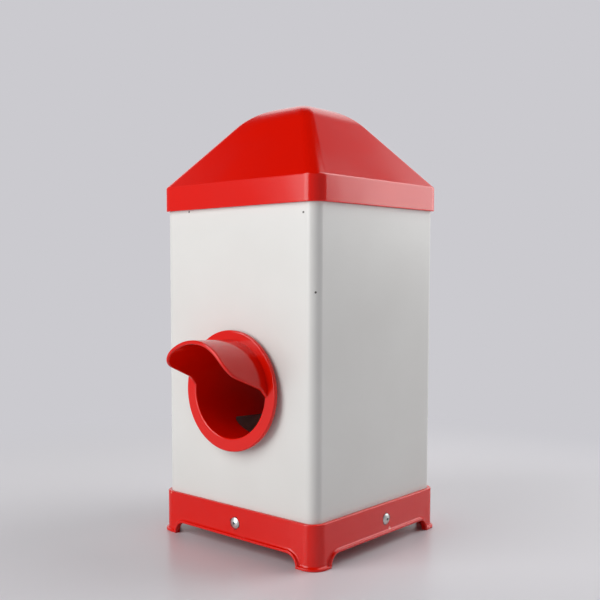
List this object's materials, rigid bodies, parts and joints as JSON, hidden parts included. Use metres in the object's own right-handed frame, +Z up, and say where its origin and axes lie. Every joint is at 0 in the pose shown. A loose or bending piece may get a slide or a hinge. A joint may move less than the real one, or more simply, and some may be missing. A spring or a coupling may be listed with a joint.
{
  "type": "poultry feeder",
  "caption": "Square hopper feeder with a round hooded feed port in the front wall, a push-on pyramid lid and a footed base with arches.",
  "frame": {"origin": "centre of the footprint of the whole feeder, hood included, on the ground under the feet", "axes": "+Z up along the tube, -Y out of the feed port, +X to the right of someone who faces the port"},
  "size_m": [0.1702, 0.2114, 0.3574],
  "materials": {
    "white_plastic": "satin white extruded plastic with faint dust specks",
    "red_base": "glossy red moulded plastic with light scratches and a nick",
    "red_lid": "glossy red moulded plastic with a scuffed patch on one slope",
    "red_port": "glossy red moulded plastic",
    "rivet_aluminium": "bright dome-headed blind rivets",
    "stem_steel": "dull broken rivet stems"
  },
  "bodies": {
    "root": {"tube": "white_plastic", "base": "red_base", "lid": "red_lid", "feed_port": "red_port", "rivets": "rivet_aluminium", "rivet_stems": "stem_steel"}
  },
  "joints": []
}
